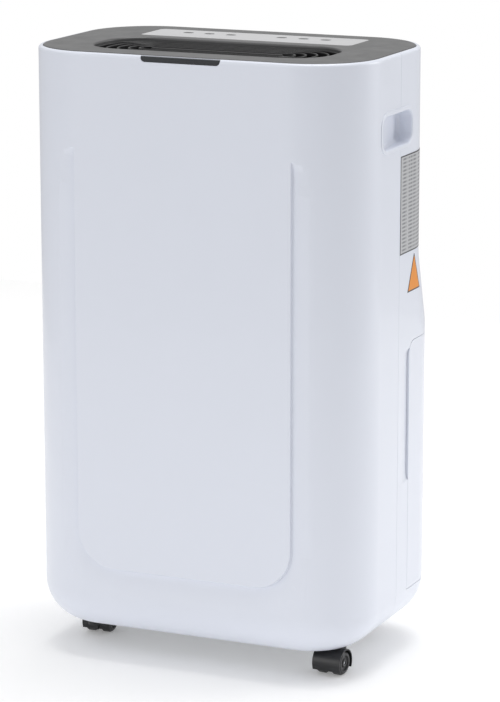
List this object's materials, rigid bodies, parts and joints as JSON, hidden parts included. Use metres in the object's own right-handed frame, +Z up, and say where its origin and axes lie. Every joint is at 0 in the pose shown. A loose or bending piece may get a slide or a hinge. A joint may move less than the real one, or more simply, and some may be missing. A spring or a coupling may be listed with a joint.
{
  "type": "portable dehumidifier",
  "caption": "Free-standing compressor dehumidifier on swivel casters, with a ringed top outlet, side grips, rear filter door and a pull-out rear water bucket.",
  "frame": {"origin": "on the floor, under the middle of the outer box", "axes": "+Z up, -Y the front of the casing, +X the right side seen from the front"},
  "size_m": [0.3476, 0.24, 0.592],
  "materials": {
    "casing_white": "satin moulded ABS with a fine even surface",
    "panel_grey": "fine textured grey",
    "strip_pale": "smooth satin film",
    "key_grey": "satin",
    "grille_black": "fine matt",
    "light_lens": "smoked lens",
    "plate_silver": "silver foil",
    "sticker_orange": "printed film",
    "filter_black": "fine matt",
    "filter_net": "nylon net",
    "liner_plastic": "moulded polypropylene",
    "tank_clear": "milky polypropylene",
    "foam_white": "expanded polystyrene",
    "inner_black": "moulded",
    "rubber_black": "matt",
    "coil_aluminium": "thin bare fins",
    "compressor_paint": "black enamel",
    "pipe_copper": "drawn copper tube",
    "zinc_steel": "bright zinc",
    "board_green": "solder mask",
    "can_aluminium": "drawn can",
    "caster_black": "moulded nylon",
    "caster_tread": "moulded nylon"
  },
  "bodies": {
    "casing": {"front_shell": "casing_white", "rear_shell": "casing_white", "base_pan": "liner_plastic", "top_panel": "panel_grey", "outlet_grille": "grille_black", "control_strip": "strip_pale", "light_bar_lens": "light_lens", "grip_cup_right": "casing_white", "grip_cup_left": "casing_white", "rating_plate": "plate_silver", "notice_sticker": "sticker_orange", "tank_bay": "liner_plastic", "tank_switch": "inner_black", "drip_tray": "liner_plastic", "drain_spout": "strip_pale", "coil_shroud": "inner_black", "evaporator": "coil_aluminium", "condenser": "coil_aluminium", "compressor": "compressor_paint", "accumulator": "compressor_paint", "refrigerant_pipes": "pipe_copper", "compressor_grommets": "rubber_black", "compressor_bolts": "zinc_steel", "fan_scroll": "inner_black", "fan_motor": "zinc_steel", "control_board": "board_green", "display_board": "board_green", "run_capacitor": "can_aluminium", "humidity_sensor": "casing_white", "cord_gland": "rubber_black", "casing_screws": "zinc_steel", "caster_stems": "zinc_steel"},
    "water_tank": {"water_tank": "casing_white", "tank_lid": "tank_clear"},
    "tank_handle": {"tank_handle": "strip_pale"},
    "tank_float": {"tank_float": "foam_white"},
    "filter_door": {"intake_grille": "casing_white", "filter_frame": "filter_black", "filter_mesh": "filter_net"},
    "fan_rotor": {"motor_shaft": "zinc_steel", "fan_wheel": "inner_black"},
    "drain_plug": {"drain_plug": "rubber_black"},
    "key_power": {"key_power": "key_grey"},
    "key_mode": {"key_mode": "key_grey"},
    "key_fan": {"key_fan": "key_grey"},
    "key_timer": {"key_timer": "key_grey"},
    "key_humidity": {"key_humidity": "key_grey"},
    "key_lock": {"key_lock": "key_grey"},
    "caster_fl": {"caster_hood_fl": "caster_black"},
    "wheels_fl": {"caster_axle_fl": "zinc_steel", "caster_wheels_fl": "caster_tread"},
    "caster_fr": {"caster_hood_fr": "caster_black"},
    "wheels_fr": {"caster_axle_fr": "zinc_steel", "caster_wheels_fr": "caster_tread"},
    "caster_rl": {"caster_hood_rl": "caster_black"},
    "wheels_rl": {"caster_axle_rl": "zinc_steel", "caster_wheels_rl": "caster_tread"},
    "caster_rr": {"caster_hood_rr": "caster_black"},
    "wheels_rr": {"caster_axle_rr": "zinc_steel", "caster_wheels_rr": "caster_tread"}
  },
  "joints": [
    {"name": "tank_slide", "type": "slide", "parent": "casing", "child": "water_tank", "axis": [0, 1, 0], "range_m": [0, 0.15]},
    {"name": "tank_handle_lift", "type": "hinge", "parent": "water_tank", "child": "tank_handle", "pos_m": [0, 0.06, 0.3035], "axis": [-1, 0, 0], "range_deg": [0, 90]},
    {"name": "tank_float_rise", "type": "hinge", "parent": "water_tank", "child": "tank_float", "pos_m": [-0.131, 0.092, 0.262], "axis": [-1, 0, 0], "range_deg": [0, 16]},
    {"name": "filter_door_tilt", "type": "hinge", "parent": "casing", "child": "filter_door", "pos_m": [0, 0.09825, 0.40415], "axis": [-1, 0, 0], "range_deg": [0, 35]},
    {"name": "fan_spin", "type": "hinge", "parent": "casing", "child": "fan_rotor", "pos_m": [0, 0, 0.461], "axis": [0, 1, 0], "continuous": true},
    {"name": "drain_plug_pull", "type": "slide", "parent": "casing", "child": "drain_plug", "axis": [0, 1, 0], "range_m": [0, 0.02]},
    {"name": "key_power_press", "type": "slide", "parent": "casing", "child": "key_power", "axis": [0, 0, -1], "range_m": [0, 0.0008], "stiffness_N_per_m": 400, "springref_m": -0.0008},
    {"name": "key_mode_press", "type": "slide", "parent": "casing", "child": "key_mode", "axis": [0, 0, -1], "range_m": [0, 0.0008], "stiffness_N_per_m": 400, "springref_m": -0.0008},
    {"name": "key_fan_press", "type": "slide", "parent": "casing", "child": "key_fan", "axis": [0, 0, -1], "range_m": [0, 0.0008], "stiffness_N_per_m": 400, "springref_m": -0.0008},
    {"name": "key_timer_press", "type": "slide", "parent": "casing", "child": "key_timer", "axis": [0, 0, -1], "range_m": [0, 0.0008], "stiffness_N_per_m": 400, "springref_m": -0.0008},
    {"name": "key_humidity_press", "type": "slide", "parent": "casing", "child": "key_humidity", "axis": [0, 0, -1], "range_m": [0, 0.0008], "stiffness_N_per_m": 400, "springref_m": -0.0008},
    {"name": "key_lock_press", "type": "slide", "parent": "casing", "child": "key_lock", "axis": [0, 0, -1], "range_m": [0, 0.0008], "stiffness_N_per_m": 400, "springref_m": -0.0008},
    {"name": "swivel_fl", "type": "hinge", "parent": "casing", "child": "caster_fl", "pos_m": [-0.131, -0.046, 0], "axis": [0, 0, 1], "continuous": true},
    {"name": "roll_fl", "type": "hinge", "parent": "caster_fl", "child": "wheels_fl", "pos_m": [-0.13205, -0.03104, 0.012], "axis": [0.9976, 0.0698, 0], "continuous": true},
    {"name": "swivel_fr", "type": "hinge", "parent": "casing", "child": "caster_fr", "pos_m": [0.131, -0.046, 0], "axis": [0, 0, 1], "continuous": true},
    {"name": "roll_fr", "type": "hinge", "parent": "caster_fr", "child": "wheels_fr", "pos_m": [0.12995, -0.06096, 0.012], "axis": [-0.9976, 0.0698, 0], "continuous": true},
    {"name": "swivel_rl", "type": "hinge", "parent": "casing", "child": "caster_rl", "pos_m": [-0.1, 0.062, 0], "axis": [0, 0, 1], "continuous": true},
    {"name": "roll_rl", "type": "hinge", "parent": "caster_rl", "child": "wheels_rl", "pos_m": [-0.09791, 0.07685, 0.012], "axis": [0.9903, -0.1392, 0], "continuous": true},
    {"name": "swivel_rr", "type": "hinge", "parent": "casing", "child": "caster_rr", "pos_m": [0.1, 0.062, 0], "axis": [0, 0, 1], "continuous": true},
    {"name": "roll_rr", "type": "hinge", "parent": "caster_rr", "child": "wheels_rr", "pos_m": [0.09688, 0.07667, 0.012], "axis": [0.9781, 0.2079, 0], "continuous": true}
  ]
}
